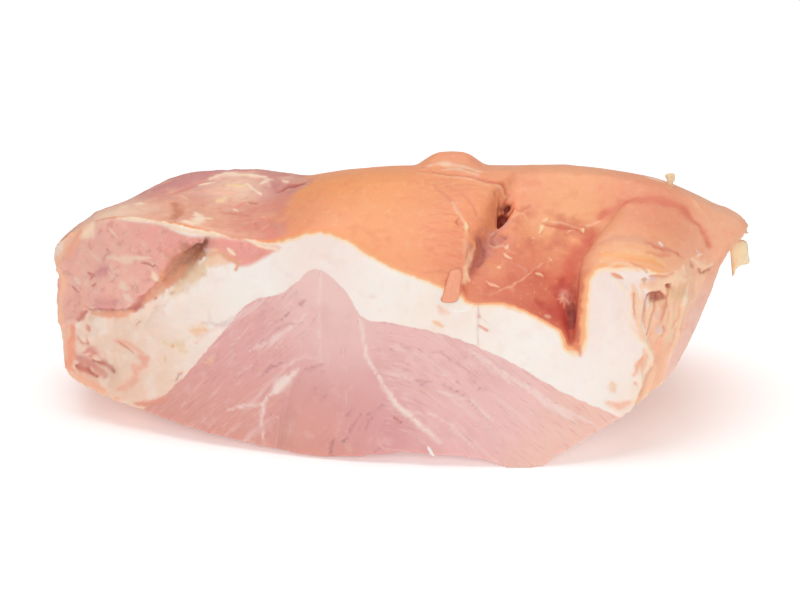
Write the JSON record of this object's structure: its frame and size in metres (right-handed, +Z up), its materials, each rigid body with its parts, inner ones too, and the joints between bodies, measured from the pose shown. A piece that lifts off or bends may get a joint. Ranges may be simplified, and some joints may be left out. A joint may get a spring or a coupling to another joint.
{
  "type": "smoked pork knuckle",
  "caption": "Piece of smoked pork knuckle with its rind on, cut lengthwise to show pink cured meat under a layer of white fat.",
  "frame": {"origin": "middle of the bounding box on the surface it rests on", "axes": "+X along the length to the pointed tip with the hanging scrap, +Y away from the knife face towards the back, +Z up to the rind"},
  "size_m": [0.2086, 0.115, 0.0772],
  "materials": {
    "cured_lean": "moist cut meat, pink, with fine fibres and white seams",
    "end_muscle_lean": "moist cut meat, salmon pink, with a cream edge of fat",
    "fat_and_smoked_rind": "satin orange smoked rind over white fat",
    "fat_shred": "dull, pale yellow fat"
  },
  "bodies": {
    "root": {"main_muscle": "cured_lean", "end_muscle": "end_muscle_lean", "fat_and_rind": "fat_and_smoked_rind", "fat_scrap": "fat_shred"}
  },
  "joints": []
}
